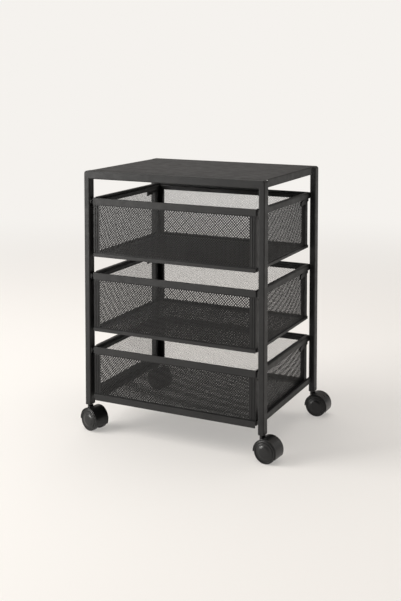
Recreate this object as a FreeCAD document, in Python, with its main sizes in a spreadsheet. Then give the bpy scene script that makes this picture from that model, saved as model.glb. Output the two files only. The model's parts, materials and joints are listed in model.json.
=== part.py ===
import FreeCAD, Part
import math
import os
import re
import Sketcher

# Driving dimensions in millimetres, turns in degrees.
# The origin lies on the floor under the middle of the frame, the drawers open towards -Y.
SIZES = {
    # Tube frames
    "cart_width": 440.0,
    "cart_depth": 331.0,
    "cart_height": 592.0,
    "post_width": 14.0,
    "post_depth": 21.0,
    "rail_height": 18.0,
    "tube_wall": 1.5,
    "tube_round": 2.5,
    "frame_corner_round": 6.0,
    "post_foot": 58.0,
    # Top plate
    "plate_gauge": 1.2,
    "plate_drop": 0.0,
    "plate_inset": 6.0,
    "plate_flange": 17.5,
    "plate_lip": 10.0,
    "plate_notch": 11.5,
    "plate_bend": 2.0,
    "plate_screw_spacing": 150.0,
    "plate_screw_drop": 6.0,
    # Lower side rails
    "side_rail_width": 6.0,
    "side_rail_height": 14.5,
    "side_rail_base": 76.5,
    "side_rail_round": 2.0,
    # Drawers
    "top_rim_height": 531.0,
    "drawer_pitch": 170.4,
    "drawer_side_gap": 5.0,
    "drawer_length": 313.0,
    "drawer_setback": 4.3,
    "drawer_depth": 131.5,
    "low_drawer_depth": 117.2,
    "drawer_corner_round": 3.0,
    "rim_band": 14.0,
    "band_gauge": 2.0,
    "hem_band": 4.0,
    "hem_gauge": 2.5,
    "bead_gauge": 5.0,
    "bead_round": 2.7,
    "lip_gauge": 1.5,
    "lip_gap": 1.0,
    "lip_start": 20.0,
    "rim_round": 0.8,
    "base_band": 6.0,
    "low_base_band": 9.0,
    "front_lap": 1.7,
    "low_front_lap": 5.5,
    "angle_leg": 14.0,
    "angle_gauge": 1.0,
    # Expanded mesh
    "mesh_gauge": 1.0,
    "mesh_border": 14.0,
    "mesh_edge": 2.0,
    "mesh_long_pitch": 30.0,
    "mesh_short_pitch": 20.0,
    "mesh_strand": 3.0,
    # Stop hooks
    "hook_gauge": 3.0,
    "hook_root_height": 6.0,
    "hook_rear_inset": 10.0,
    "hook_root_length": 24.0,
    "hook_reach": 47.0,
    "hook_drop": 13.0,
    "hook_tip_height": 9.0,
    "hook_round": 4.0,
    # Runners, stop studs and fasteners
    "runner_width": 3.0,
    "runner_setback": 3.0,
    "runner_gap": 0.3,
    "stud_radius": 3.5,
    "stud_gap": 0.4,
    "stud_clearance": 2.5,
    "stud_inset": 13.0,
    "shank_radius": 2.0,
    "hole_clearance": 0.1,
    "head_radius": 3.6,
    "head_height": 1.2,
    # Castors
    "wheel_radius": 25.0,
    "wheel_tread": 12.0,
    "wheel_gap": 0.5,
    "tyre_round": 2.0,
    "castor_width": 42.0,
    "castor_trail": 13.4,
    "cap_radius": 19.0,
    "ring_width": 1.5,
    "ring_depth": 0.8,
    "hood_width": 37.0,
    "hood_gap": 0.7,
    "hood_wall": 1.6,
    "hood_round": 1.0,
    "hood_arc": 210.0,
    "hood_tilt": 80.0,
    "web_width": 13.0,
    "hub_radius": 12.0,
    "neck_radius": 6.4,
    "neck_height": 54.0,
    "axle_radius": 3.0,
    "axle_end_inset": 2.0,
    "axle_length": 33.0,
    "running_fit": 0.05,
    "stem_radius": 4.0,
    "stem_grip": 22.0,
    "stem_height": 84.0,
    "collar_radius": 6.0,
    "collar_gap": 0.3,
    "socket_length": 30.0,
    "socket_flange": 2.0,
    "socket_clearance": 0.05,
    # Rest turn of each castor about its stem
    "front_left_turn": 16.4,
    "front_right_turn": 5.0,
    "rear_left_turn": 10.0,
    "rear_right_turn": 0.4,
}

doc = FreeCAD.newDocument("rolling_storage_cart")
sheet = doc.addObject("Spreadsheet::Sheet", "sizes")
for row, (alias, size) in enumerate(SIZES.items(), start=1):
    sheet.set("A%d" % row, alias)
    sheet.set("B%d" % row, str(size))
    sheet.setAlias("B%d" % row, alias)
doc.recompute()

subparts = []


# Helpers

def sized(expression):
    """The expression with each size written as a cell of the sheet."""
    return re.sub(r"[a-z_]+", lambda word: "sizes." + word[0] if word[0] in SIZES else word[0], expression)


def value(expression):
    return float(sheet.evalExpression(sized(expression)))


def place(item, x="0", y="0", z="0", turn="0"):
    """Bind an object's place and its turn about Z to the sheet."""
    for axis, expression in zip("xyz", (x, y, z)):
        item.setExpression("Placement.Base." + axis, sized(expression))
    item.setExpression("Placement.Rotation.Angle", sized(turn))


def new_body(label, several=False, **where):
    """An empty body; several allows it to hold more than one solid."""
    body = doc.addObject("PartDesign::Body", label)
    body.Label = label
    body.AllowCompound = several
    place(body, **where)
    subparts.append(body)
    return body


def new_sketch(body, name, plane, lift="0"):
    """A sketch on one of the body's origin planes, lifted along that plane's normal."""
    sketch = body.newObject("Sketcher::SketchObject", body.Label + "_" + name)
    role = plane + "_Plane"
    support = [feature for feature in body.Origin.OriginFeatures if feature.Role == role][0]
    sketch.AttachmentSupport = [(support, "")]
    sketch.MapMode = "FlatFace"
    sketch.setExpression("AttachmentOffset.Base.z", sized(lift))
    return sketch


def pin(sketch, geometry, end, x, y):
    """Fix a point of the sketch at two coordinates from the sheet."""
    for kind, expression in (("DistanceX", x), ("DistanceY", y)):
        constraint = Sketcher.Constraint(kind, -1, 1, geometry, end, value(expression))
        sketch.setExpression("Constraints[%d]" % sketch.addConstraint(constraint), sized(expression))


def outline(sketch, corners):
    """A closed outline. A corner with a third entry starts an arc about that centre."""
    first = sketch.GeometryCount
    points = [FreeCAD.Vector(value(corner[0]), value(corner[1]), 0) for corner in corners]
    for index, corner in enumerate(corners):
        start, end = points[index], points[(index + 1) % len(points)]
        if len(corner) == 3:
            middle = FreeCAD.Vector(value(corner[2][0]), value(corner[2][1]), 0)
            circle = Part.Circle(middle, FreeCAD.Vector(0, 0, 1), (start - middle).Length)
            angles = [math.atan2(point.y - middle.y, point.x - middle.x) for point in (start, end)]
            sketch.addGeometry(Part.ArcOfCircle(circle, *angles))
        else:
            sketch.addGeometry(Part.LineSegment(start, end))
    for index, corner in enumerate(corners):
        following = first + (index + 1) % len(corners)
        sketch.addConstraint(Sketcher.Constraint("Coincident", first + index, 2, following, 1))
    for index, corner in enumerate(corners):
        pin(sketch, first + index, 1, corner[0], corner[1])
        if len(corner) == 3:
            centre_x = Sketcher.Constraint("DistanceX", -1, 1, first + index, 3, value(corner[2][0]))
            number = sketch.addConstraint(centre_x)
            sketch.setExpression("Constraints[%d]" % number, sized(corner[2][0]))


def rectangle(sketch, x_low, x_high, y_low, y_high):
    outline(sketch, [(x_low, y_low), (x_high, y_low), (x_high, y_high), (x_low, y_high)])


def circle(sketch, x, y, radius):
    ring = Part.Circle(FreeCAD.Vector(value(x), value(y), 0), FreeCAD.Vector(0, 0, 1), value(radius))
    geometry = sketch.addGeometry(ring)
    pin(sketch, geometry, 3, x, y)
    number = sketch.addConstraint(Sketcher.Constraint("Radius", geometry, value(radius)))
    sketch.setExpression("Constraints[%d]" % number, sized(radius))


def extrude(kind, sketch, length, symmetric=False, flip=False):
    """A Pad or a Pocket of the sketch; a Pocket has to remove material."""
    body = sketch.getParentGeoFeatureGroup()
    before = body.Shape.Volume if body.Tip else 0.0
    feature = body.newObject("PartDesign::" + kind, sketch.Name + "_" + kind.lower())
    feature.Profile = sketch
    feature.setExpression("Length", sized(length))
    feature.SideType = "Symmetric" if symmetric else "One side"
    feature.Reversed = flip
    doc.recompute()
    if kind == "Pocket" and feature.Shape.Volume >= before:
        raise RuntimeError(feature.Name + " removes nothing")
    return feature


def pad(sketch, length, **options):
    return extrude("Pad", sketch, length, **options)


def pocket(sketch, length, **options):
    return extrude("Pocket", sketch, length, **options)


def fillet(body, radius, chosen):
    """Round the edges of the body's last feature that the test chooses."""
    base = body.Tip
    names = ["Edge%d" % number for number, edge in enumerate(base.Shape.Edges, start=1) if chosen(edge)]
    feature = body.newObject("PartDesign::Fillet", base.Name + "_fillet")
    feature.Base = (base, names)
    feature.setExpression("Radius", sized(radius))
    doc.recompute()
    return feature


def near(first, second):
    return abs(first - second) < 1e-4


def runs_along(edge, axis):
    """Whether an edge is straight and parallel to x, y or z."""
    box = edge.BoundBox
    spans = {"x": box.XLength, "y": box.YLength, "z": box.ZLength}
    length = spans.pop(axis)
    return near(length, edge.Length) and max(spans.values()) < 1e-4


def is_circle(edge, radius):
    return not edge.Degenerated and isinstance(edge.Curve, Part.Circle) and near(edge.Curve.Radius, radius)


# Shared places

LEVELS = ("top", "middle", "bottom")
SIDES = {"left": "-1", "right": "1"}
HALF_WIDTH = "cart_width / 2"
HALF_DEPTH = "cart_depth / 2"
POST_INNER = "(cart_width / 2 - post_width)"
RAIL_INNER = "(cart_depth / 2 - post_depth)"
POST_X = "(cart_width - post_width) / 2"
POST_Y = "(cart_depth - post_depth) / 2"
PLATE_TOP = "(cart_height - plate_drop)"
PLATE_SCREW_HEIGHT = "(cart_height - plate_drop - plate_screw_drop)"
PLATE_SCREW_PLACES = ("-plate_screw_spacing", "0", "plate_screw_spacing")
HOLE_RADIUS = "shank_radius + hole_clearance"
RUNNER_HEIGHT = "(rim_band - 2 * lip_gauge - 2 * runner_gap)"
DRAWER_Y = "drawer_setback + (drawer_length - cart_depth) / 2"


def drawer_sizes(level):
    """Depth, base band and front lap of a drawer, and the height of its underside."""
    low = "low_" if level == "bottom" else ""
    depth = low + "drawer_depth"
    under = "(%s - %s)" % (rim_top(level), depth)
    return depth, low + "base_band", low + "front_lap", under


def rim_top(level):
    return "(top_rim_height - %d * drawer_pitch)" % LEVELS.index(level)


def runner_top(level):
    return "(%s - lip_gauge - runner_gap)" % rim_top(level)


def stud_places():
    """Depth and height of each stop stud on one side of the cart, all on the front post."""
    height = "(%s - rim_band - stud_clearance - stud_radius)"
    return [("(stud_inset - cart_depth / 2)", height % rim_top(level)) for level in LEVELS]


def rivet_places():
    """Depth and height of each runner rivet on one side of the cart."""
    return [(end + POST_Y, "%s - %s / 2" % (runner_top(level), RUNNER_HEIGHT))
            for level in LEVELS for end in ("-", "")]


# Frame

def tube_frame(label, end):
    """An inverted U of hollow tube: two posts and a top rail, open at the feet."""
    body = new_body(label, y="%s * %s" % (end, POST_Y))
    profile = new_sketch(body, "profile", "XZ")
    arch(profile, HALF_WIDTH, "cart_height", POST_INNER, "cart_height - rail_height")
    pad(profile, "post_depth", symmetric=True)
    top = value("cart_height")
    fillet(body, "frame_corner_round", lambda edge: runs_along(edge, "y") and near(edge.BoundBox.ZMax, top)
           and near(abs(edge.CenterOfMass.x), value(HALF_WIDTH)))
    face = value("post_depth / 2")
    foot = value("post_foot")
    fillet(body, "tube_round", lambda edge: near(abs(edge.CenterOfMass.y), face)
           and near(edge.BoundBox.YLength, 0) and edge.BoundBox.ZMax > foot + 1)
    bore = new_sketch(body, "bore", "XZ")
    arch(bore, HALF_WIDTH + " - tube_wall", "cart_height - tube_wall", POST_INNER + " + tube_wall",
         "cart_height - rail_height + tube_wall", "frame_corner_round - tube_wall")
    pocket(bore, "post_depth - 2 * tube_wall", symmetric=True)
    holes = new_sketch(body, "side_holes", "YZ")
    front = end == "-1"
    for y, z in stud_places() + rivet_places():
        if (value(y) < 0) == front:
            circle(holes, "%s - %s * %s" % (y, end, POST_Y), z, HOLE_RADIUS)
    pocket(holes, "cart_width - post_width", symmetric=True)
    screws = new_sketch(body, "screw_holes", "XZ")
    for x in PLATE_SCREW_PLACES:
        circle(screws, x, PLATE_SCREW_HEIGHT, HOLE_RADIUS)
    pocket(screws, "post_depth", flip=not front)


def arch(sketch, half_width, top, inner, underside, bevel=None):
    """The inverted U, with its outer corners cut off where a bevel is given."""
    corners = [("-(%s)" % half_width, "post_foot")]
    if bevel:
        corners += [("-(%s)" % half_width, "%s - (%s)" % (top, bevel)),
                    ("-(%s) + %s" % (half_width, bevel), top),
                    ("%s - (%s)" % (half_width, bevel), top),
                    (half_width, "%s - (%s)" % (top, bevel))]
    else:
        corners += [("-(%s)" % half_width, top), (half_width, top)]
    corners += [(half_width, "post_foot"), (inner, "post_foot"), (inner, underside),
                ("-(%s)" % inner, underside), ("-(%s)" % inner, "post_foot")]
    outline(sketch, corners)


def top_plate():
    """Folded sheet between the rails: side flanges, and lips that are screwed to the rails."""
    body = new_body("top_plate", z=PLATE_TOP)
    half_x = "(cart_width / 2 - plate_inset)"
    sheet_outline = new_sketch(body, "sheet", "XY")
    rectangle(sheet_outline, "-" + half_x, half_x, "-" + RAIL_INNER, RAIL_INNER)
    pad(sheet_outline, "plate_flange", flip=True)
    fillet(body, "plate_bend", lambda edge: runs_along(edge, "y") and near(edge.CenterOfMass.z, 0))
    hollow = new_sketch(body, "hollow", "XY", "-plate_flange")
    inner_x = "(%s - plate_gauge)" % half_x
    inner_y = "(%s - plate_gauge)" % RAIL_INNER
    rectangle(hollow, "-" + inner_x, inner_x, "-" + inner_y, inner_y)
    pocket(hollow, "plate_flange - plate_gauge", flip=True)
    notches = new_sketch(body, "notches", "XY", "-plate_flange")
    for side in ("-", ""):
        for end in ("-", ""):
            near_x = "%s(%s - plate_notch)" % (side, half_x)
            near_y = "%s(%s - plate_notch)" % (end, RAIL_INNER)
            rectangle(notches, near_x, side + half_x, near_y, end + RAIL_INNER)
    pocket(notches, "plate_flange - plate_gauge", flip=True)
    trims = new_sketch(body, "lip_trims", "XY", "-plate_flange")
    lip_end = "(%s - plate_notch)" % half_x
    for end in ("-", ""):
        rectangle(trims, "-" + lip_end, lip_end, end + inner_y, end + RAIL_INNER)
    pocket(trims, "plate_flange - plate_lip", flip=True)
    screws = new_sketch(body, "screw_holes", "XZ")
    for x in PLATE_SCREW_PLACES:
        circle(screws, x, "-plate_screw_drop", HOLE_RADIUS)
    pocket(screws, "cart_depth", symmetric=True)


def lower_rail(side):
    """Flat bar low on one side, butted between the front and the rear post."""
    body = new_body("lower_rail_" + side)
    profile = new_sketch(body, "profile", "XZ")
    edges = [SIDES[side] + " * " + edge for edge in (POST_INNER, "(%s + side_rail_width)" % POST_INNER)]
    rectangle(profile, edges[0], edges[1], "side_rail_base", "side_rail_base + side_rail_height")
    pad(profile, "2 * " + RAIL_INNER, symmetric=True)
    fillet(body, "side_rail_round", lambda edge: runs_along(edge, "y"))


def runner(side, level):
    """Flat bar between two posts that runs inside the channel of a drawer's rim."""
    body = new_body("runner_%s_%s" % (side, level), z=runner_top(level))
    edges = [SIDES[side] + " * " + edge for edge in (POST_INNER, "(%s - runner_width)" % POST_INNER)]
    profile = new_sketch(body, "profile", "XZ")
    rectangle(profile, edges[0], edges[1], "-" + RUNNER_HEIGHT, "0")
    pad(profile, "cart_depth - 2 * runner_setback", symmetric=True)
    holes = new_sketch(body, "holes", "YZ")
    for end in ("-", ""):
        circle(holes, end + POST_Y, "-%s / 2" % RUNNER_HEIGHT, HOLE_RADIUS)
    pocket(holes, "cart_width", symmetric=True)


def side_fasteners(label, places, seat, head_radius, head_height, shank):
    """Headed pins that stand inwards from an upright seat on both sides, with shanks outwards."""
    body = new_body(label, several=True)
    for side, sign in SIDES.items():
        right = side == "right"
        heads = new_sketch(body, side + "_heads", "YZ", "%s * %s" % (sign, seat))
        shanks = new_sketch(body, side + "_shanks", "YZ", "%s * %s" % (sign, seat))
        for y, z in places:
            circle(heads, y, z, head_radius)
            circle(shanks, y, z, "shank_radius")
        pad(heads, head_height, flip=right)
        pad(shanks, shank, flip=not right)


def plate_screws():
    """Screws through the plate's lips into the front and rear rails."""
    body = new_body("plate_screws", several=True)
    seat = "(%s - plate_gauge)" % RAIL_INNER
    for name, sign in (("front", "1"), ("rear", "-1")):
        front = name == "front"
        heads = new_sketch(body, name + "_heads", "XZ", "%s * %s" % (sign, seat))
        shanks = new_sketch(body, name + "_shanks", "XZ", "%s * %s" % (sign, seat))
        for x in PLATE_SCREW_PLACES:
            circle(heads, x, PLATE_SCREW_HEIGHT, "head_radius")
            circle(shanks, x, PLATE_SCREW_HEIGHT, "shank_radius")
        pad(heads, "head_height", flip=front)
        pad(shanks, "plate_gauge + tube_wall", flip=not front)


def post_places():
    return [(side + POST_X, end + POST_Y) for side in ("-", "") for end in ("-", "")]


def post_sockets():
    """Plastic plugs in the open post ends, each with a flange and a bore for a stem."""
    body = new_body("post_sockets", several=True)
    plugs = new_sketch(body, "plugs", "XY", "post_foot")
    flanges = new_sketch(body, "flanges", "XY", "post_foot")
    bores = new_sketch(body, "bores", "XY", "post_foot + socket_length")
    half_plug = "(post_width / 2 - tube_wall - socket_clearance)"
    half_plug_deep = "(post_depth / 2 - tube_wall - socket_clearance)"
    for x, y in post_places():
        rectangle(plugs, "%s - %s" % (x, half_plug), "%s + %s" % (x, half_plug),
                  "%s - %s" % (y, half_plug_deep), "%s + %s" % (y, half_plug_deep))
        rectangle(flanges, x + " - post_width / 2", x + " + post_width / 2",
                  y + " - post_depth / 2", y + " + post_depth / 2")
        circle(bores, x, y, "stem_radius + running_fit")
    pad(plugs, "socket_length")
    pad(flanges, "socket_flange", flip=True)
    pocket(bores, "socket_length + socket_flange")
    flange = value("socket_flange")
    fillet(body, "tube_round", lambda edge: runs_along(edge, "z") and near(edge.Length, flange))


def castor_stems():
    """Steel stems in the sockets, each with a thrust collar over the castor's neck."""
    body = new_body("castor_stems", several=True)
    shanks = new_sketch(body, "shanks", "XY", "stem_height")
    collars = new_sketch(body, "collars", "XY", "post_foot - socket_flange")
    for x, y in post_places():
        circle(shanks, x, y, "stem_radius")
        circle(collars, x, y, "collar_radius")
    pad(shanks, "stem_height - neck_height + stem_grip - collar_gap", flip=True)
    pad(collars, "post_foot - socket_flange - neck_height - collar_gap", flip=True)


# Drawers, each in a frame of its own: centred in X and Y, with z from its underside

HALF_DRAWER = "(%s - drawer_side_gap)" % POST_INNER
HALF_LENGTH = "drawer_length / 2"


def ring(sketch, inset, gauge):
    """Outer and inner rectangle of a band that lies inset from the drawer's outline."""
    for step in (inset, "%s + %s" % (inset, gauge)):
        half_x = "(%s - (%s))" % (HALF_DRAWER, step)
        half_y = "(%s - (%s))" % (HALF_LENGTH, step)
        rectangle(sketch, "-" + half_x, half_x, "-" + half_y, half_y)


def drawer_body(level, name, several=False):
    return new_body("%s_%s" % (level, name), several, y=DRAWER_Y, z=drawer_sizes(level)[3])


def level_at(edge, height):
    box = edge.BoundBox
    return near(box.ZMin, value(height)) and near(box.ZMax, value(height))


def outer_corner(edge):
    box = edge.BoundBox
    return (runs_along(edge, "z") and near(abs(box.XMin), value(HALF_DRAWER))
            and near(abs(box.YMin), value(HALF_LENGTH)))


def rim(level):
    """Band round the drawer's top: hem and rolled bead inside, channels for the runners outside."""
    depth = drawer_sizes(level)[0]
    body = drawer_body(level, "rim")
    band = new_sketch(body, "band", "XY", depth)
    ring(band, "0", "band_gauge")
    pad(band, "rim_band", flip=True)
    fillet(body, "drawer_corner_round", outer_corner)
    hem = new_sketch(body, "hem", "XY", depth)
    ring(hem, "band_gauge", "hem_gauge")
    pad(hem, "hem_band", flip=True)
    fillet(body, "rim_round", lambda edge: level_at(edge, depth))
    bead = new_sketch(body, "bead", "XY", depth + " - hem_band")
    ring(bead, "band_gauge + mesh_gauge", "bead_gauge")
    pad(bead, "rim_band - hem_band", flip=True)
    inner_x, inner_y = (value(half + " - band_gauge - mesh_gauge - bead_gauge")
                        for half in (HALF_DRAWER, HALF_LENGTH))
    fillet(body, "min(bead_round; bead_gauge + mesh_gauge - hem_gauge - rim_round)",
           lambda edge: level_at(edge, depth + " - hem_band")
           and (near(abs(edge.CenterOfMass.x), inner_x) or near(abs(edge.CenterOfMass.y), inner_y)))
    for name, height in (("top_lips", depth), ("low_lips", depth + " - rim_band + lip_gauge")):
        lips = new_sketch(body, name, "XY", height)
        for side in SIDES.values():
            rectangle(lips, "%s * (%s - band_gauge / 2)" % (side, HALF_DRAWER),
                      "%s * (%s - lip_gap)" % (side, POST_INNER),
                      "lip_start - " + HALF_LENGTH, HALF_LENGTH + " - drawer_corner_round")
        pad(lips, "lip_gauge", flip=True)


def base_frame(level):
    """Band round the drawer's foot, with the front strip that laps below the floor."""
    depth, band_height, lap, under = drawer_sizes(level)
    body = drawer_body(level, "base_frame")
    band = new_sketch(body, "band", "XY")
    ring(band, "0", "band_gauge")
    pad(band, band_height)
    fillet(body, "drawer_corner_round", outer_corner)
    strip = new_sketch(body, "front_strip", "XY")
    half_strip = "(%s - drawer_corner_round)" % HALF_DRAWER
    rectangle(strip, "-" + half_strip, half_strip, "-" + HALF_LENGTH, "band_gauge - " + HALF_LENGTH)
    pad(strip, lap, flip=True)


def mesh_sheet(label, level, corner, along, up, normal, length, height, borders):
    """One expanded-metal sheet: a face with staggered diamond gaps, thickened by its gauge."""
    long_pitch = value("mesh_long_pitch")
    short_pitch = value("mesh_short_pitch")
    strand = value("mesh_strand")
    low, high, ends = borders
    half_long = long_pitch / 2 - strand
    half_short = short_pitch / 2 - strand * short_pitch / long_pitch

    def wire(points):
        return Part.makePolygon([corner + along * s + up * t for s, t in points + points[:1]])

    wires = [wire([(0, 0), (length, 0), (length, height), (0, height)])]
    for stagger in (0.0, 0.5):
        columns = int((length - 2 * ends - 2 * half_long) / long_pitch - 2 * stagger + 1e-9) + 1
        rows = int((height - low - high - 2 * half_short) / short_pitch - 2 * stagger + 1e-9) + 1
        first_s = (length - (columns - 1) * long_pitch) / 2
        first_t = (low + height - high - (rows - 1) * short_pitch) / 2
        for column in range(columns):
            for row in range(rows):
                s = first_s + column * long_pitch
                t = first_t + row * short_pitch
                wires.append(wire([(s - half_long, t), (s, t - half_short),
                                   (s + half_long, t), (s, t + half_short)]))
    item = doc.addObject("Part::Feature", label)
    item.Label = label
    item.Shape = Part.makeFace(wires, "Part::FaceMakerBullseye").extrude(normal * value("mesh_gauge"))
    place(item, y=DRAWER_Y, z=drawer_sizes(level)[3])
    subparts.append(item)


def mesh_sheets(level):
    """Front and rear sheets across the drawer, side sheets and floor between them."""
    depth, band_height, lap, under = drawer_sizes(level)
    right, back, up = FreeCAD.Vector(1, 0, 0), FreeCAD.Vector(0, 1, 0), FreeCAD.Vector(0, 0, 1)
    gauge = value("mesh_gauge")
    border = value("mesh_border")
    half_x = value(HALF_DRAWER + " - band_gauge")
    half_y = value(HALF_LENGTH + " - band_gauge")
    inner_x = half_x - gauge
    inner_y = half_y - gauge
    height = value(depth + " - hem_band")
    borders = (value(band_height + " + mesh_edge"), value("rim_band - hem_band + mesh_edge"), border)
    for name, face in (("front", -1), ("rear", 1)):
        corner = FreeCAD.Vector(-half_x, face * half_y, 0)
        mesh_sheet("%s_%s_mesh" % (level, name), level, corner, right, up, back * -face,
                   2 * half_x, height, borders)
    for name, face in (("left", -1), ("right", 1)):
        corner = FreeCAD.Vector(face * half_x, -inner_y, 0)
        mesh_sheet("%s_%s_mesh" % (level, name), level, corner, back, up, right * -face,
                   2 * inner_y, height, borders)
    corner = FreeCAD.Vector(-inner_x, -inner_y, 0)
    mesh_sheet("%s_floor_mesh" % level, level, corner, right, back, up,
               2 * inner_x, 2 * inner_y, (border, border, border))


def corner_angles(level):
    """Four upright angles inside the corners, from the floor sheet to the rim's bead."""
    depth = drawer_sizes(level)[0]
    body = drawer_body(level, "corner_angles", several=True)
    profile = new_sketch(body, "profile", "XY", "mesh_gauge")
    for side in ("-1", "1"):
        for end in ("-1", "1"):
            x_places = ["%s * (%s - band_gauge - mesh_gauge - %s)" % (side, HALF_DRAWER, step)
                        for step in ("0", "angle_gauge", "angle_leg")]
            y_places = ["%s * (%s - band_gauge - mesh_gauge - %s)" % (end, HALF_LENGTH, step)
                        for step in ("0", "angle_gauge", "angle_leg")]
            outline(profile, [(x_places[0], y_places[0]), (x_places[2], y_places[0]),
                              (x_places[2], y_places[1]), (x_places[1], y_places[1]),
                              (x_places[1], y_places[2]), (x_places[0], y_places[2])])
    pad(profile, "%s - rim_band - mesh_gauge" % depth)


def stop_hooks(level):
    """Curved tongues under the rear of the rim that meet the stop studs when the drawer is out."""
    depth = drawer_sizes(level)[0]
    body = drawer_body(level, "stop_hooks", several=True)
    rear = "(%s - hook_rear_inset)" % HALF_LENGTH
    front = "(%s - hook_root_length)" % rear
    tip = "(%s - hook_reach)" % rear
    root = "(%s - rim_band)" % depth
    low = "(%s - hook_drop)" % root
    for side, sign in SIDES.items():
        profile = new_sketch(body, side + "_profile", "YZ", "%s * %s" % (sign, HALF_DRAWER))
        outline(profile, [(rear, root + " - hook_root_height"), (rear, root), (front, root),
                          (tip, low + " + hook_tip_height"), (tip, low),
                          (tip + " + hook_tip_height / 2", low)])
        pad(profile, "hook_gauge", flip=side == "left")
    rounded = [(value(front), value(root)), (value(tip), value(low + " + hook_tip_height"))]
    fillet(body, "hook_round", lambda edge: runs_along(edge, "x") and any(
        near(edge.CenterOfMass.y, y) and near(edge.CenterOfMass.z, z) for y, z in rounded))


# Castors, each turned about its stem: wheels trail the stem by the castor trail

AXLE_INNER = "(web_width / 2 + wheel_gap)"


def castor_place(side, end, turn):
    return {"x": side + POST_X, "y": end + POST_Y, "turn": "-" + turn}


def axle_place(side, end, turn, extra=""):
    return {"x": "%s%s + castor_trail * cos(%s)" % (side, POST_X, turn),
            "y": "%s%s - castor_trail * sin(%s)" % (end, POST_Y, turn),
            "z": "wheel_radius", "turn": "-" + turn + extra}


def hood(name, where):
    """Moulded cover: shell over both wheels, centre web, hub and a neck that turns on the stem."""
    body = new_body(name + "_hood", **where)
    shell_inner = "(wheel_radius + hood_gap)"
    shell_outer = "(wheel_radius + hood_gap + hood_wall)"
    section = new_sketch(body, "section", "XY", "wheel_radius")
    section.setExpression("AttachmentOffset.Base.x", sized("castor_trail"))
    section.AttachmentOffset = FreeCAD.Placement(
        FreeCAD.Vector(value("castor_trail"), 0, value("wheel_radius")),
        FreeCAD.Rotation(FreeCAD.Vector(0, 1, 0), -value("hood_tilt")))
    outline(section, [("0", "-web_width / 2"), (shell_inner, "-web_width / 2"),
                      (shell_inner, "-hood_width / 2"), (shell_outer, "-hood_width / 2"),
                      (shell_outer, "hood_width / 2"), (shell_inner, "hood_width / 2"),
                      (shell_inner, "web_width / 2"), ("0", "web_width / 2")])
    shell = body.newObject("PartDesign::Revolution", name + "_shell")
    shell.Profile = section
    shell.ReferenceAxis = (section, ["V_Axis"])
    shell.setExpression("Angle", sized("hood_arc"))
    shell.Midplane = True
    doc.recompute()
    outer = value(shell_outer)
    fillet(body, "hood_round", lambda edge: is_circle(edge, outer))
    hub = new_sketch(body, "hub", "XZ")
    circle(hub, "castor_trail", "wheel_radius", "hub_radius")
    pad(hub, "web_width", symmetric=True)
    neck = new_sketch(body, "neck", "XY", "neck_height")
    circle(neck, "0", "0", "neck_radius")
    pad(neck, "neck_height - wheel_radius", flip=True)
    stem_bore = new_sketch(body, "stem_bore", "XY", "neck_height")
    circle(stem_bore, "0", "0", "stem_radius + running_fit")
    pocket(stem_bore, "stem_grip")
    axle_bore = new_sketch(body, "axle_bore", "XZ")
    circle(axle_bore, "castor_trail", "wheel_radius", "axle_radius + running_fit")
    pocket(axle_bore, "2 * web_width", symmetric=True)


def axle(name, where):
    body = new_body(name + "_axle", **where)
    section = new_sketch(body, "section", "XZ")
    circle(section, "0", "0", "axle_radius")
    pad(section, "axle_length", symmetric=True)


def wheel(label, where):
    """One wheel: tread, ring groove and domed cap outside, blind bore on the axle."""
    body = new_body(label, **where)
    face = "(%s + wheel_tread)" % AXLE_INNER
    dome = "(castor_width / 2 - %s)" % face
    dome_centre = "castor_width / 2 - (cap_radius * cap_radius + %s * %s) / (2 * %s)" % (dome, dome, dome)
    bore = "(axle_radius + running_fit)"
    bore_end = "(axle_length / 2 + axle_end_inset)"
    ring_outer = "(cap_radius + ring_width)"
    section = new_sketch(body, "section", "XY")
    outline(section, [(bore, AXLE_INNER), ("wheel_radius", AXLE_INNER), ("wheel_radius", face),
                      (ring_outer, face), (ring_outer, face + " - ring_depth"),
                      ("cap_radius", face + " - ring_depth"), ("cap_radius", face, ("0", dome_centre)),
                      ("0", "castor_width / 2"), ("0", bore_end), (bore, bore_end)])
    turned = body.newObject("PartDesign::Revolution", label + "_turned")
    turned.Profile = section
    turned.ReferenceAxis = (section, ["V_Axis"])
    turned.Angle = 360.0
    doc.recompute()
    tread = value("wheel_radius")
    fillet(body, "tyre_round", lambda edge: is_circle(edge, tread))


def castor(name, side, end):
    turn = name + "_turn"
    hood(name, castor_place(side, end, turn))
    axle(name, axle_place(side, end, turn))
    wheel(name + "_wheel_a", axle_place(side, end, turn))
    wheel(name + "_wheel_b", axle_place(side, end, turn, " + 180"))


# Assembly

tube_frame("front_frame", "-1")
tube_frame("rear_frame", "1")
top_plate()
plate_screws()
for side in SIDES:
    lower_rail(side)
    for level in LEVELS:
        runner(side, level)
stud_reach = "(%s - %s - stud_gap)" % (POST_INNER, HALF_DRAWER)
side_fasteners("stop_studs", stud_places(), POST_INNER, "stud_radius", stud_reach, "tube_wall")
side_fasteners("runner_rivets", rivet_places(), "(%s - runner_width)" % POST_INNER, "head_radius",
               "head_height", "runner_width + tube_wall")
post_sockets()
castor_stems()
for level in LEVELS:
    rim(level)
    base_frame(level)
    mesh_sheets(level)
    corner_angles(level)
    stop_hooks(level)
castor("front_left", "-", "-")
castor("front_right", "", "-")
castor("rear_left", "-", "")
castor("rear_right", "", "")
doc.recompute()

# Every object has to be sound before any file is written
for item in doc.Objects:
    if {"Invalid", "Error"} & set(item.State):
        raise RuntimeError(item.Label + " did not rebuild: " + ", ".join(item.State))
for item in subparts:
    if item.Shape.isNull() or not item.Shape.isValid() or not item.Shape.Solids:
        raise RuntimeError(item.Label + " has no valid solid")

os.makedirs("parts", exist_ok=True)
for item in subparts:
    item.Shape.exportStep("parts/%s.step" % item.Label)
    print(item.Label, len(item.Shape.Solids), "solids", round(item.Shape.Volume), "mm3")
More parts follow.
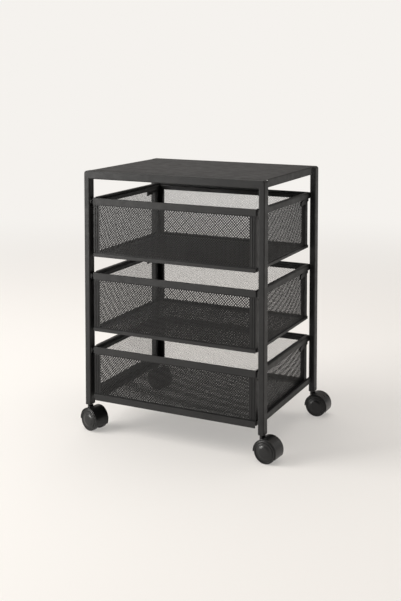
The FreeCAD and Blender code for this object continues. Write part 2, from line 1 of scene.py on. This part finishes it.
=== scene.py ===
import json
import math

import bpy
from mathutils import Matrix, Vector


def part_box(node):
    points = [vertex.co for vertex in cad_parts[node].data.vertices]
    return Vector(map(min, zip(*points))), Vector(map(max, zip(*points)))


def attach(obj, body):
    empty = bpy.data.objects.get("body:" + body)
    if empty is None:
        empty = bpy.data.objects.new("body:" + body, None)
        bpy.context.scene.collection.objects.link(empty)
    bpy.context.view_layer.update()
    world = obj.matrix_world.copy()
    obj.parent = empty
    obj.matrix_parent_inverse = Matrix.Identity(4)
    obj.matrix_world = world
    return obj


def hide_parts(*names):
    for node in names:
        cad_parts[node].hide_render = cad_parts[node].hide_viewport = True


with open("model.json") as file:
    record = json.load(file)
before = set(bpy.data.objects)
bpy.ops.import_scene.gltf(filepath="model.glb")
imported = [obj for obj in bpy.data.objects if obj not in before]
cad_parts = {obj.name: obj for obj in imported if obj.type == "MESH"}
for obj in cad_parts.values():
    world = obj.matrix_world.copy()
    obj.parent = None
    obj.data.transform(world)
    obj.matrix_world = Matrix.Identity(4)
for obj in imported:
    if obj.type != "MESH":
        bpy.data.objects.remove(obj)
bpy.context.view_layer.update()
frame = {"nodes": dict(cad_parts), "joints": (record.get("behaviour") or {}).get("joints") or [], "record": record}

# The cart dressed for its photograph: finishes on the CAD nodes, fine expanded mesh on the
# drawers, turned castor wheels, and a pale studio

MM = 0.001
QUARTER_TURN = 90
RIGHT, BACK, UP = Vector((1, 0, 0)), Vector((0, 1, 0)), Vector((0, 0, 1))

# Camera: solved from the frame's corners in the photograph, in pixels, metres and degrees
IMAGE_WIDTH = 401
IMAGE_HEIGHT = 601
FOCAL_PIXELS = 985.39
AXIS_ROW = 125.0
CAMERA_PLACE = Vector((0.99133, -2.02865, 0.83424))
CAMERA_YAW = -26.24
CAMERA_PITCH = 3.612
SENSOR_HEIGHT = 36.0
CLIP_END = 50.0

# Studio floor: it glows like the backdrop, by a share near the cart and wholly far from it
BACKDROP = (0.913, 0.888, 0.855)
FLOOR_COLOUR = (0.92, 0.895, 0.865)
FLOOR_ROUGHNESS = 0.75
FLOOR_SPECULAR = 0.2
FLOOR_RADIUS = 9.0
FLOOR_CORNERS = 96
GLOW_SHARE = 0.39
GLOW_SPAN = (0.9, 3.2)

# Ambient light: it falls off towards the horizon and towards one dim side of the studio
AMBIENT = 0.40
AMBIENT_COLOUR = (1.0, 0.93, 0.87)
HORIZON_SPAN = (0.02, 0.55)
HORIZON_LEVEL = 0.15
DIM_SIDE = (0.44, -0.89, 0.10)
DIM_SIDE_SPAN = (0.55, 0.92)
DIM_SIDE_LEVEL = 0.10

# Square lights: place, target, side length in metres, power in watts and colour
CART_MIDDLE = (0.0, 0.0, 0.3)
LIGHTS = {
    "key": ((-2.5, -1.55, 2.0), CART_MIDDLE, 2.0, 82.0, (1.0, 0.985, 0.96)),
    "low_key": ((-1.8, -2.0, 0.32), (-0.2, -0.16, 0.46), 0.52, 24.0, (1.0, 0.985, 0.96)),
    "top": ((-0.3, 0.2, 2.8), CART_MIDDLE, 2.6, 36.0, (1.0, 0.99, 0.97)),
    "back_right": ((2.2, 2.0, 1.2), CART_MIDDLE, 2.0, 7.0, (1.0, 0.99, 0.97)),
    "back_left": ((-1.8, 2.8, 1.1), (0.0, 0.0, 0.6), 1.8, 2.4, (1.0, 0.99, 0.97)),
}

# Finishes: darkest and lightest colour, roughness range, grain scale, grain depth, specular
# level and metal share
FINISHES = {
    "powder_coat": ((0.007, 0.007, 0.0072), (0.012, 0.012, 0.012), (0.44, 0.56),
                    1500.0, 0.10 * MM, 0.4, 0.0),
    "mesh_coat": ((0.005, 0.005, 0.0052), (0.009, 0.009, 0.009), (0.38, 0.50),
                  1200.0, 0.08 * MM, 0.3, 0.0),
    "plastic": ((0.004, 0.0042, 0.0044), (0.007, 0.0073, 0.0076), (0.26, 0.36),
                2200.0, 0.05 * MM, 0.45, 0.0),
    "wheel_plastic": ((0.003, 0.0032, 0.0034), (0.006, 0.0063, 0.0066), (0.27, 0.35),
                      1800.0, 0.05 * MM, 0.48, 0.0),
    "steel": ((0.36, 0.36, 0.37), (0.52, 0.52, 0.53), (0.28, 0.44),
              900.0, 0.06 * MM, 0.5, 1.0),
}

# Noise of the finishes: scales per metre, and the span of noise that a change goes through
CLOUD_SCALE = 18.0
CLOUD_DETAIL = 3.0
CLOUD_SPAN = (0.35, 0.65)
GLOSS_SCALE = 55.0
GLOSS_SPAN = (0.3, 0.7)
GRAIN_DETAIL = 2.0
GRAIN_STRENGTH = 0.35

# Expanded mesh of the drawers: width of a diamond, and the share of it that its strands take
LEVELS = ("top", "middle", "bottom")
PITCHES = {"front": 6.0 * MM, "rear": 4.0 * MM, "left": 5.0 * MM, "right": 5.0 * MM,
           "floor": 6.0 * MM}
STRAND_SHARES = {"front": 0.40, "rear": 0.17, "left": 0.15, "right": 0.34, "floor": 0.36}
STRAND_TILT = 0.22 * MM
SHEET_GAUGE = 0.5 * MM
SHEET_BORDER = 14.0 * MM
SHEET_EDGE = 1.0 * MM
SAME_POINT = 1e6
BEAD_WIDTH = 3.2 * MM
BEAD_HEIGHT = 0.8 * MM
BEAD_PLACES = (0.33, 0.72)
BEAD_SHAPE = ((-1.0, 0.0), (-0.5, 0.8), (0.0, 1.0), (0.5, 0.8), (1.0, 0.0))
BEADED_SIDES = ("front", "rear")
FLAT_MAP = "OFBake"

# Castor wheels: radii, places along the axle from the castor's middle, and the heights of the
# cap's edge, shoulder, step and top above the wheel's face
CASTORS = ("front_left", "front_right", "rear_left", "rear_right")
WHEEL_WAYS = {"wheel_a": 1, "wheel_b": -1}
WHEEL_RADIUS = 25.0 * MM
WHEEL_INNER = 7.0 * MM
WHEEL_FACE = 18.6 * MM
WHEEL_BORE = 3.1 * MM
BORE_END = 18.0 * MM
TYRE_ROUND = 2.2 * MM
GROOVE_OUTER = 21.0 * MM
GROOVE_INNER = 19.2 * MM
GROOVE_DEPTH = 1.3 * MM
CAP_EDGE = 18.6 * MM
CAP_SHOULDER = 16.6 * MM
CAP_STEP = 9.4 * MM
CAP_HEIGHTS = (0.2 * MM, 0.4 * MM, 2.1 * MM, 2.4 * MM)
FLANK_STEPS = 6
ARC_STEPS = 6
DOME_STEPS = 8
TURN_STEPS = 96
SHARP_ANGLE = 35.0


# Materials

def new_material(name):
    """A material that has a Principled shader and an output alone; gives all three."""
    material = bpy.data.materials.new(name)
    material.use_nodes = True
    nodes = material.node_tree.nodes
    nodes.clear()
    shader = nodes.new("ShaderNodeBsdfPrincipled")
    output = nodes.new("ShaderNodeOutputMaterial")
    material.node_tree.links.new(shader.outputs["BSDF"], output.inputs["Surface"])
    return material, shader, output


def noise(material, scale, detail):
    """Noise in the object's own coordinates, which are metres."""
    nodes, links = material.node_tree.nodes, material.node_tree.links
    place = nodes.new("ShaderNodeTexCoord")
    texture = nodes.new("ShaderNodeTexNoise")
    texture.inputs["Scale"].default_value = scale
    texture.inputs["Detail"].default_value = detail
    links.new(place.outputs["Object"], texture.inputs["Vector"])
    return texture.outputs["Fac"]


def ramp(material, factor, *colours):
    """A colour that goes from the first of two to the second with the factor."""
    node = material.node_tree.nodes.new("ShaderNodeValToRGB")
    for element, place, colour in zip(node.color_ramp.elements, CLOUD_SPAN, colours):
        element.position = place
        element.color = (*colour, 1.0)
    material.node_tree.links.new(factor, node.inputs["Fac"])
    return node.outputs["Color"]


def spread_value(material, factor, low, high):
    """A number that goes from low to high with the factor."""
    node = material.node_tree.nodes.new("ShaderNodeMapRange")
    node.inputs["From Min"].default_value = GLOSS_SPAN[0]
    node.inputs["From Max"].default_value = GLOSS_SPAN[1]
    node.inputs["To Min"].default_value = low
    node.inputs["To Max"].default_value = high
    material.node_tree.links.new(factor, node.inputs["Value"])
    return node.outputs["Result"]


def bump(material, shader, height, depth):
    """A fine relief on the surface."""
    node = material.node_tree.nodes.new("ShaderNodeBump")
    node.inputs["Strength"].default_value = GRAIN_STRENGTH
    node.inputs["Distance"].default_value = depth
    material.node_tree.links.new(height, node.inputs["Height"])
    material.node_tree.links.new(node.outputs["Normal"], shader.inputs["Normal"])


def coated(name, low, high, rough, grain, depth, specular, metallic):
    """A finish with cloudy colour, uneven gloss and a fine surface grain."""
    material, shader, _ = new_material(name)
    links = material.node_tree.links
    cloud = noise(material, CLOUD_SCALE, CLOUD_DETAIL)
    gloss = noise(material, GLOSS_SCALE, CLOUD_DETAIL)
    links.new(ramp(material, cloud, low, high), shader.inputs["Base Color"])
    links.new(spread_value(material, gloss, *rough), shader.inputs["Roughness"])
    shader.inputs["Specular IOR Level"].default_value = specular
    shader.inputs["Metallic"].default_value = metallic
    bump(material, shader, noise(material, grain, GRAIN_DETAIL), depth)
    return material


# Pieces

def add_piece(mesh, body, node):
    """A piece with the mesh's name that rides on a body in the place of a CAD node."""
    piece = bpy.data.objects.new(mesh.name, mesh)
    bpy.context.scene.collection.objects.link(piece)
    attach(piece, body)
    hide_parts(node)


# Expanded-metal sheets

class Layer:
    """One face of a sheet in its own two directions, with points shared by place."""

    def __init__(self):
        self.points = []
        self.known = {}
        self.faces = []

    def point(self, s, t, depth=0.0):
        key = (round(s * SAME_POINT), round(t * SAME_POINT))
        if key not in self.known:
            self.known[key] = len(self.points)
            self.points.append((s, t, depth))
        return self.known[key]

    def face(self, *corners):
        self.faces.append(corners)


def cuts(start, end, pitch):
    """Even steps from start to end that are close to the pitch."""
    count = max(2, round((end - start) / pitch))
    return [start + (end - start) * step / count for step in range(count + 1)]


def add_diamond(layer, s, t, half_s, half_t, strand):
    """A diamond gap with its four strands; the strands lean as those of expanded metal do."""
    corners = [(0, -1), (1, 0), (0, 1), (-1, 0)]
    outer = [layer.point(s + x * half_s, t + z * half_t) for x, z in corners]
    gap = 1.0 - strand
    inner = [layer.point(s + x * half_s * gap, t + z * half_t * gap, z * STRAND_TILT)
             for x, z in corners]
    for here in range(len(corners)):
        after = (here + 1) % len(corners)
        layer.face(outer[here], outer[after], inner[after], inner[here])


def add_field(layer, columns, rows, strand):
    """The diamonds between the borders, with solid half diamonds along the field's edges."""
    half_s = (columns[1] - columns[0]) / 2
    half_t = (rows[1] - rows[0]) / 2
    for s in columns[:-1]:
        for t in rows[:-1]:
            add_diamond(layer, s + half_s, t + half_t, half_s, half_t, strand)
    for s in columns[1:-1]:
        for t in rows[1:-1]:
            add_diamond(layer, s, t, half_s, half_t, strand)
    for s in columns[1:-1]:
        for t, way in ((rows[0], 1), (rows[-1], -1)):
            layer.face(layer.point(s - way * half_s, t), layer.point(s + way * half_s, t),
                       layer.point(s, t + way * half_t))
    for t in rows[1:-1]:
        for s, way in ((columns[0], 1), (columns[-1], -1)):
            layer.face(layer.point(s, t + way * half_t), layer.point(s, t - way * half_t),
                       layer.point(s + way * half_s, t))
    for s, way_s in ((columns[0], 1), (columns[-1], -1)):
        for t, way_t in ((rows[0], 1), (rows[-1], -1)):
            corner = [layer.point(s, t), layer.point(s + way_s * half_s, t),
                      layer.point(s, t + way_t * half_t)]
            layer.face(*(corner if way_s * way_t > 0 else corner[::-1]))


def halves(places):
    """The ends of a row of cells and the middles, where the strands meet the border."""
    middles = [(low + high) / 2 for low, high in zip(places, places[1:])]
    return [places[0]] + middles + [places[-1]]


def add_grid(layer, columns, rows):
    """A solid border strip, flat at its ends; a column has a place and a height."""
    ends = rows[:2] + rows[-2:]
    for (s_low, out_low), (s_high, out_high) in zip(columns, columns[1:]):
        for t_low, t_high in zip(rows, rows[1:]):
            corners = [(s_low, t_low, out_low), (s_high, t_low, out_high),
                       (s_high, t_high, out_high), (s_low, t_high, out_low)]
            layer.face(*(layer.point(s, t, 0.0 if t in ends else out) for s, t, out in corners))


def bead_columns(start, end):
    """Columns of a border from its outer end to the mesh, with pressed upright beads."""
    columns = [(start, 0.0)]
    way = math.copysign(BEAD_WIDTH / 2, end - start)
    for share in BEAD_PLACES:
        middle = start + (end - start) * share
        columns += [(middle + way * step, -BEAD_HEIGHT * height) for step, height in BEAD_SHAPE]
    return columns + [(end, 0.0)]


def sheet_layer(length, height, low, high, ends, side):
    """One face of a sheet: the diamond field and its four solid borders."""
    layer = Layer()
    beads = side in BEADED_SIDES
    columns = cuts(ends, length - ends, PITCHES[side])
    rows = cuts(low, height - high, PITCHES[side])
    add_field(layer, columns, rows, STRAND_SHARES[side])
    upright = [0.0] + halves(rows) + [height]
    left = bead_columns(0.0, ends) if beads else [(0.0, 0.0), (ends, 0.0)]
    right = [(length - place, out) for place, out in reversed(left)]
    add_grid(layer, left, upright)
    add_grid(layer, right, upright)
    level = [(s, 0.0) for s in halves(columns)]
    add_grid(layer, level, [0.0, low])
    add_grid(layer, level, [height - high, height])
    return layer


def thicken(layer):
    """Front and back of the layer, joined by walls round its edge and round every gap."""
    count = len(layer.points)
    faces = [tuple(face) for face in layer.faces]
    edges = {(face[here - 1], face[here]) for face in faces for here in range(len(face))}
    walls = [(b, a, a + count, b + count) for a, b in edges if (b, a) not in edges]
    backs = [tuple(corner + count for corner in reversed(face)) for face in faces]
    return faces + backs + sorted(walls)


def add_flat_map(mesh, layer, sizes):
    """A texture map that lies flat on the sheet, alike on its front and its back."""
    length, height = sizes[:2]
    flat = mesh.uv_layers.new(name=FLAT_MAP)
    count = len(layer.points)
    places = [(s / length, t / height) for s, t, depth in layer.points]
    flat.uv.foreach_set("vector", [share for loop in mesh.loops
                                   for share in places[loop.vertex_index % count]])


def make_sheet(level, side, origin, along, up, inward, sizes, material):
    """An expanded-metal sheet in the place of its CAD node."""
    layer = sheet_layer(*sizes, side)
    points = []
    for back in (0.0, SHEET_GAUGE):
        points += [origin + along * s + up * t + inward * (depth + back)
                   for s, t, depth in layer.points]
    mesh = bpy.data.meshes.new("%s_%s_wire" % (level, side))
    mesh.from_pydata(points, [], thicken(layer))
    mesh.validate()
    mesh.update()
    mesh.materials.append(material)
    add_flat_map(mesh, layer, sizes)
    add_piece(mesh, level + "_drawer", "%s_%s_mesh" % (level, side))


def make_drawer_sheets(level, material):
    """The four walls and the floor of one drawer, each inside its CAD sheet's box."""
    rim_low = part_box(level + "_rim")[0][2]
    base_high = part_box(level + "_base_frame")[1][2]
    for side, along, inward in (("front", RIGHT, BACK), ("rear", -RIGHT, -BACK),
                                ("left", -BACK, RIGHT), ("right", BACK, -RIGHT)):
        low, high = (Vector(corner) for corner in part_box("%s_%s_mesh" % (level, side)))
        ways = along + inward + UP
        origin = Vector([start if way > 0 else end for start, end, way in zip(low, high, ways)])
        room = abs((high - low).dot(inward)) - SHEET_GAUGE
        length = abs((high - low).dot(along))
        borders = (base_high - low[2] + SHEET_EDGE, high[2] - rim_low + SHEET_EDGE,
                   SHEET_BORDER)
        sizes = (length, high[2] - low[2], *borders)
        make_sheet(level, side, origin + inward * room / 2, along, UP, inward, sizes, material)
    low, high = (Vector(corner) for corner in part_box(level + "_floor_mesh"))
    span = high - low
    sizes = (span[1], span[0], SHEET_BORDER, SHEET_BORDER, SHEET_BORDER)
    origin = low + UP * (span[2] - SHEET_GAUGE) / 2
    make_sheet(level, "floor", origin, BACK, RIGHT, UP, sizes, material)


# Castor wheels

def smooth_step(share):
    """A share from 0 to 1 that starts and ends gently."""
    return share * share * (3.0 - 2.0 * share)


def wheel_profile():
    """A wheel's outline from bore to cap, as radius and place along the axle."""
    points = [(WHEEL_BORE, BORE_END), (WHEEL_BORE, WHEEL_INNER)]
    for place, start in ((WHEEL_INNER + TYRE_ROUND, -QUARTER_TURN), (WHEEL_FACE - TYRE_ROUND, 0)):
        for step in range(ARC_STEPS + 1):
            angle = math.radians(start + QUARTER_TURN * step / ARC_STEPS)
            points.append((WHEEL_RADIUS - TYRE_ROUND + TYRE_ROUND * math.cos(angle),
                           place + TYRE_ROUND * math.sin(angle)))
    floor = WHEEL_FACE - GROOVE_DEPTH
    edge, shoulder, step_top, top = (WHEEL_FACE + height for height in CAP_HEIGHTS)
    points += [(GROOVE_OUTER, WHEEL_FACE), (GROOVE_OUTER, floor), (GROOVE_INNER, floor),
               (GROOVE_INNER, WHEEL_FACE), (CAP_EDGE, edge)]
    for step in range(FLANK_STEPS):
        share = step / FLANK_STEPS
        points.append((CAP_SHOULDER + (CAP_STEP - CAP_SHOULDER) * share,
                       shoulder + (step_top - shoulder) * smooth_step(share)))
    for step in range(DOME_STEPS):
        share = 1.0 - step / DOME_STEPS
        points.append((CAP_STEP * share, top - (top - step_top) * share * share))
    return points


def turn(profile, hub, axle):
    """Points and faces of a profile turned about the axle, closed at bore and cap."""
    across = UP.cross(axle)
    count = len(profile)
    points, faces = [], []
    for step in range(TURN_STEPS):
        angle = 2 * math.pi * step / TURN_STEPS
        spoke = across * math.cos(angle) + UP * math.sin(angle)
        points += [hub + axle * place + spoke * radius for radius, place in profile]
        here, after = step * count, (step + 1) % TURN_STEPS * count
        faces += [(here + i, after + i, after + i + 1, here + i + 1) for i in range(count - 1)]
    ends = ((0, BORE_END), (count - 1, WHEEL_FACE + CAP_HEIGHTS[-1]))
    for (index, place), way_round in zip(ends, (-1, 1)):
        ring = [step * count + index for step in range(TURN_STEPS)][::way_round]
        middle = len(points)
        points.append(hub + axle * place)
        faces += [(ring[i], ring[(i + 1) % TURN_STEPS], middle) for i in range(TURN_STEPS)]
    return points, faces


def make_wheel(node, way, material):
    """A wheel turned about its axle, in the place of its CAD node."""
    joint = next(joint for joint in frame["joints"] if joint["child"] == node)
    axle = Vector(joint["axis"]).normalized() * way
    points, faces = turn(wheel_profile(), Vector(joint["pos_m"]), axle)
    mesh = bpy.data.meshes.new(node + "_turned")
    mesh.from_pydata(points, [], faces)
    mesh.validate()
    mesh.shade_smooth()
    mesh.set_sharp_from_angle(angle=math.radians(SHARP_ANGLE))
    mesh.materials.append(material)
    add_piece(mesh, node, node)


# Finish of the CAD nodes

def dress_nodes(materials):
    """Each CAD node takes the finish of its material slot."""
    slot_of = {part["node"]: part["material_slot"] for part in frame["record"]["subparts"]}
    for name, node in frame["nodes"].items():
        node.data.materials.clear()
        node.data.materials.append(materials[slot_of[name]])


# Stage, light and camera

def make_floor():
    """A pale round floor that fades into the backdrop far from the object."""
    bpy.ops.mesh.primitive_circle_add(vertices=FLOOR_CORNERS, radius=FLOOR_RADIUS,
                                      fill_type="TRIFAN")
    floor = bpy.context.object
    floor.name = "studio_floor"
    material, shader, output = new_material("studio_floor")
    nodes, links = material.node_tree.nodes, material.node_tree.links
    shader.inputs["Roughness"].default_value = FLOOR_ROUGHNESS
    shader.inputs["Specular IOR Level"].default_value = FLOOR_SPECULAR
    shader.inputs["Base Color"].default_value = (*FLOOR_COLOUR, 1.0)
    glow = nodes.new("ShaderNodeEmission")
    glow.inputs["Color"].default_value = (*BACKDROP, 1.0)
    place = nodes.new("ShaderNodeTexCoord")
    length = nodes.new("ShaderNodeVectorMath")
    length.operation = "LENGTH"
    fade = nodes.new("ShaderNodeMapRange")
    fade.interpolation_type = "SMOOTHSTEP"
    fade.inputs["From Min"].default_value = GLOW_SPAN[0]
    fade.inputs["From Max"].default_value = GLOW_SPAN[1]
    fade.inputs["To Min"].default_value = GLOW_SHARE
    blend = nodes.new("ShaderNodeMixShader")
    links.new(place.outputs["Object"], length.inputs[0])
    links.new(length.outputs["Value"], fade.inputs["Value"])
    links.new(fade.outputs["Result"], blend.inputs["Fac"])
    links.new(shader.outputs["BSDF"], blend.inputs[1])
    links.new(glow.outputs["Emission"], blend.inputs[2])
    links.new(blend.outputs["Shader"], output.inputs["Surface"])
    floor.data.materials.append(material)


def direction_level(world, place, side, span, low, high):
    """A level that goes from low to high as a direction turns towards a side of the studio."""
    nodes, links = world.node_tree.nodes, world.node_tree.links
    facing = nodes.new("ShaderNodeVectorMath")
    facing.operation = "DOT_PRODUCT"
    facing.inputs[1].default_value = side
    level = nodes.new("ShaderNodeMapRange")
    level.interpolation_type = "SMOOTHSTEP"
    level.inputs["From Min"].default_value = span[0]
    level.inputs["From Max"].default_value = span[1]
    level.inputs["To Min"].default_value = low
    level.inputs["To Max"].default_value = high
    links.new(place.outputs["Generated"], facing.inputs[0])
    links.new(facing.outputs["Value"], level.inputs["Value"])
    return level.outputs["Result"]


def make_world():
    """Ambient light by direction; the camera itself sees the backdrop."""
    world = bpy.data.worlds.new("studio")
    world.use_nodes = True
    nodes, links = world.node_tree.nodes, world.node_tree.links
    nodes.clear()
    output = nodes.new("ShaderNodeOutputWorld")
    seen = nodes.new("ShaderNodeBackground")
    seen.inputs["Color"].default_value = (*BACKDROP, 1.0)
    ambient = nodes.new("ShaderNodeBackground")
    ambient.inputs["Color"].default_value = (*AMBIENT_COLOUR, 1.0)
    place = nodes.new("ShaderNodeTexCoord")
    height = direction_level(world, place, UP, HORIZON_SPAN,
                             HORIZON_LEVEL * AMBIENT, AMBIENT)
    side = direction_level(world, place, DIM_SIDE, DIM_SIDE_SPAN, 1.0, DIM_SIDE_LEVEL)
    both = nodes.new("ShaderNodeMath")
    both.operation = "MULTIPLY"
    links.new(height, both.inputs[0])
    links.new(side, both.inputs[1])
    links.new(both.outputs["Value"], ambient.inputs["Strength"])
    path = nodes.new("ShaderNodeLightPath")
    blend = nodes.new("ShaderNodeMixShader")
    links.new(path.outputs["Is Camera Ray"], blend.inputs["Fac"])
    links.new(ambient.outputs["Background"], blend.inputs[1])
    links.new(seen.outputs["Background"], blend.inputs[2])
    links.new(blend.outputs["Shader"], output.inputs["Surface"])
    bpy.context.scene.world = world


def make_light(name, place, target, size, power, colour):
    """A square light that faces its target."""
    data = bpy.data.lights.new(name, "AREA")
    data.shape = "SQUARE"
    data.size = size
    data.energy = power
    data.color = colour
    light = bpy.data.objects.new(name, data)
    light.location = place
    way = Vector(target) - Vector(place)
    light.rotation_euler = way.to_track_quat("-Z", "Y").to_euler()
    bpy.context.scene.collection.objects.link(light)


def make_camera():
    """The photograph's view; its upright lines hardly converge, so the lens is shifted."""
    yaw, pitch = math.radians(CAMERA_YAW), math.radians(CAMERA_PITCH)
    forward = Vector((math.sin(yaw) * math.cos(pitch), math.cos(yaw) * math.cos(pitch),
                      -math.sin(pitch)))
    data = bpy.data.cameras.new("camera")
    data.sensor_fit = "VERTICAL"
    data.sensor_height = SENSOR_HEIGHT
    data.sensor_width = SENSOR_HEIGHT * IMAGE_WIDTH / IMAGE_HEIGHT
    data.lens = FOCAL_PIXELS * SENSOR_HEIGHT / IMAGE_HEIGHT
    data.shift_y = (AXIS_ROW - IMAGE_HEIGHT / 2) / IMAGE_HEIGHT
    data.clip_end = CLIP_END
    camera = bpy.data.objects.new("camera", data)
    camera.location = CAMERA_PLACE
    camera.rotation_euler = forward.to_track_quat("-Z", "Y").to_euler()
    bpy.context.scene.collection.objects.link(camera)
    bpy.context.scene.camera = camera


materials = {slot: coated(slot, *finish) for slot, finish in FINISHES.items()}
dress_nodes(materials)
for drawer_level in LEVELS:
    make_drawer_sheets(drawer_level, materials["mesh_coat"])
for castor in CASTORS:
    for wheel, outward in WHEEL_WAYS.items():
        make_wheel("%s_%s" % (castor, wheel), outward, materials["wheel_plastic"])
make_floor()
make_world()
for light_name, light_values in LIGHTS.items():
    make_light(light_name, *light_values)
make_camera()
bpy.context.scene.view_settings.view_transform = "Standard"
